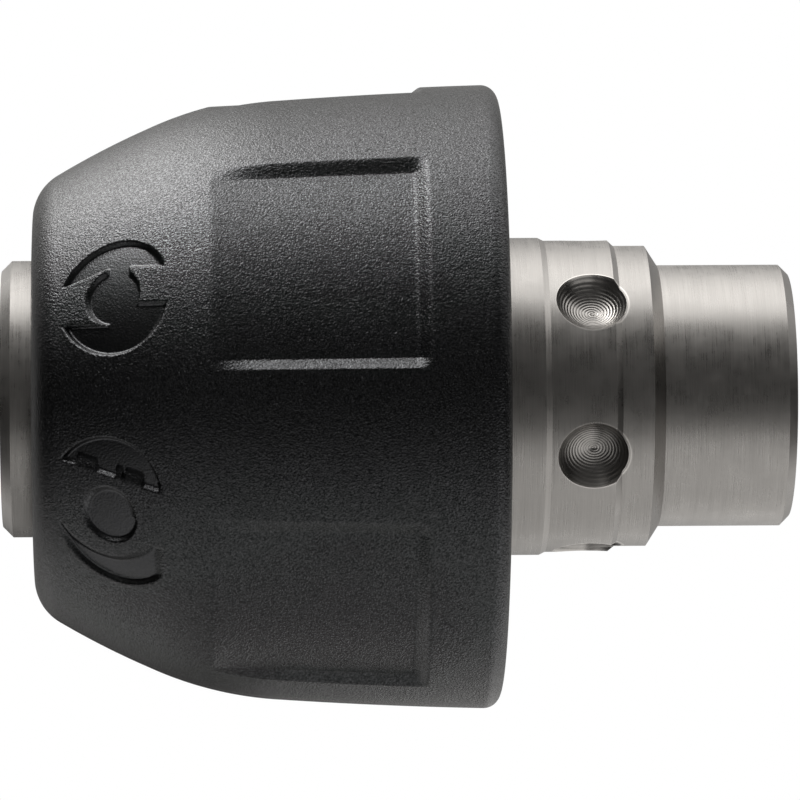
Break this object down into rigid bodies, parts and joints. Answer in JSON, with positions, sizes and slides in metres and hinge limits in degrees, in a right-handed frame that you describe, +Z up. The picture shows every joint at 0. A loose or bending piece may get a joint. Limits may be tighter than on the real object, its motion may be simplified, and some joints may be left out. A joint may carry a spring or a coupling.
{
  "type": "drill chuck",
  "caption": "Keyless drill chuck: black grip sleeve with sunk panels, three inclined jaws, steel nose and a stepped quick-change spigot with ball-locking dimples.",
  "frame": {"origin": "on the chuck's axis, in the plane of the shoulder where the drive spigot starts", "axes": "+X along the chuck's axis, out of the spigot's end face; the nose points to -X; +Z up through the middle of the first jaw"},
  "size_m": [0.054, 0.0428, 0.0428],
  "materials": {
    "body_steel": "turned steel, fine circumferential tool marks",
    "jaw_steel": "ground hardened steel",
    "nut_steel": "turned steel, lightly oiled",
    "bearing_steel": "polished bearing steel",
    "spring_steel": "dark phosphated spring steel",
    "cage_brass": "stamped brass",
    "grip_plastic": "black moulded plastic, fine grain, satin",
    "cover_plastic": "dark moulded plastic",
    "plug_plastic": "dark moulded plastic",
    "washer_plastic": "natural bearing plastic",
    "seal_rubber": "matt black rubber"
  },
  "bodies": {
    "spindle_side": {"chuck_body": "body_steel", "ratchet_ring": "bearing_steel", "race_rear": "bearing_steel", "rear_cover": "cover_plastic", "rear_snap_ring": "spring_steel", "rear_seal": "seal_rubber", "front_snap_ring": "spring_steel", "bore_plug": "plug_plastic"},
    "nut_drive": {"nut_half_1": "nut_steel", "nut_half_2": "nut_steel", "nut_jacket": "nut_steel", "race_front": "bearing_steel", "thrust_washer": "washer_plastic", "detent_spring": "spring_steel", "pawl_pin": "bearing_steel"},
    "sleeve": {"grip_sleeve": "grip_plastic", "drive_sleeve": "nut_steel", "front_seal": "seal_rubber"},
    "pawl": {"lock_pawl": "spring_steel"},
    "cage": {"ball_cage": "cage_brass", "bearing_balls": "bearing_steel"},
    "jaw_1": {"jaw_1": "jaw_steel"},
    "jaw_2": {"jaw_2": "jaw_steel"},
    "jaw_3": {"jaw_3": "jaw_steel"}
  },
  "joints": [
    {"name": "nut_turn", "type": "hinge", "parent": "spindle_side", "child": "nut_drive", "pos_m": [-0.0292, 0, 0], "axis": [1, 0, 0], "range_deg": [-950, 1420]},
    {"name": "sleeve_lock", "type": "hinge", "parent": "nut_drive", "child": "sleeve", "pos_m": [-0.0292, 0, 0], "axis": [1, 0, 0], "range_deg": [0, 10]},
    {"name": "pawl_tip", "type": "hinge", "parent": "nut_drive", "child": "pawl", "pos_m": [-0.021, 0.00459, 0.01715], "axis": [1, 0, 0], "range_deg": [0, 5]},
    {"name": "cage_roll", "type": "hinge", "parent": "spindle_side", "child": "cage", "pos_m": [-0.0238, 0, 0], "axis": [1, 0, 0], "range_deg": [-475, 710]},
    {"name": "jaw_1_slide", "type": "slide", "parent": "spindle_side", "child": "jaw_1", "axis": [-0.9397, 0, -0.342], "range_m": [-0.00528, 0.00789]},
    {"name": "jaw_2_slide", "type": "slide", "parent": "spindle_side", "child": "jaw_2", "axis": [-0.9397, 0.2962, 0.171], "range_m": [-0.00528, 0.00789]},
    {"name": "jaw_3_slide", "type": "slide", "parent": "spindle_side", "child": "jaw_3", "axis": [-0.9397, -0.2962, 0.171], "range_m": [-0.00528, 0.00789]}
  ],
  "couplings": [
    {"joint": "pawl_tip", "follows": "sleeve_lock", "ratio": 0.5},
    {"joint": "cage_roll", "follows": "nut_turn", "ratio": 0.5},
    {"joint": "jaw_1_slide", "follows": "nut_turn", "m_per_rad": 0.00031831},
    {"joint": "jaw_2_slide", "follows": "nut_turn", "m_per_rad": 0.00031831},
    {"joint": "jaw_3_slide", "follows": "nut_turn", "m_per_rad": 0.00031831}
  ]
}
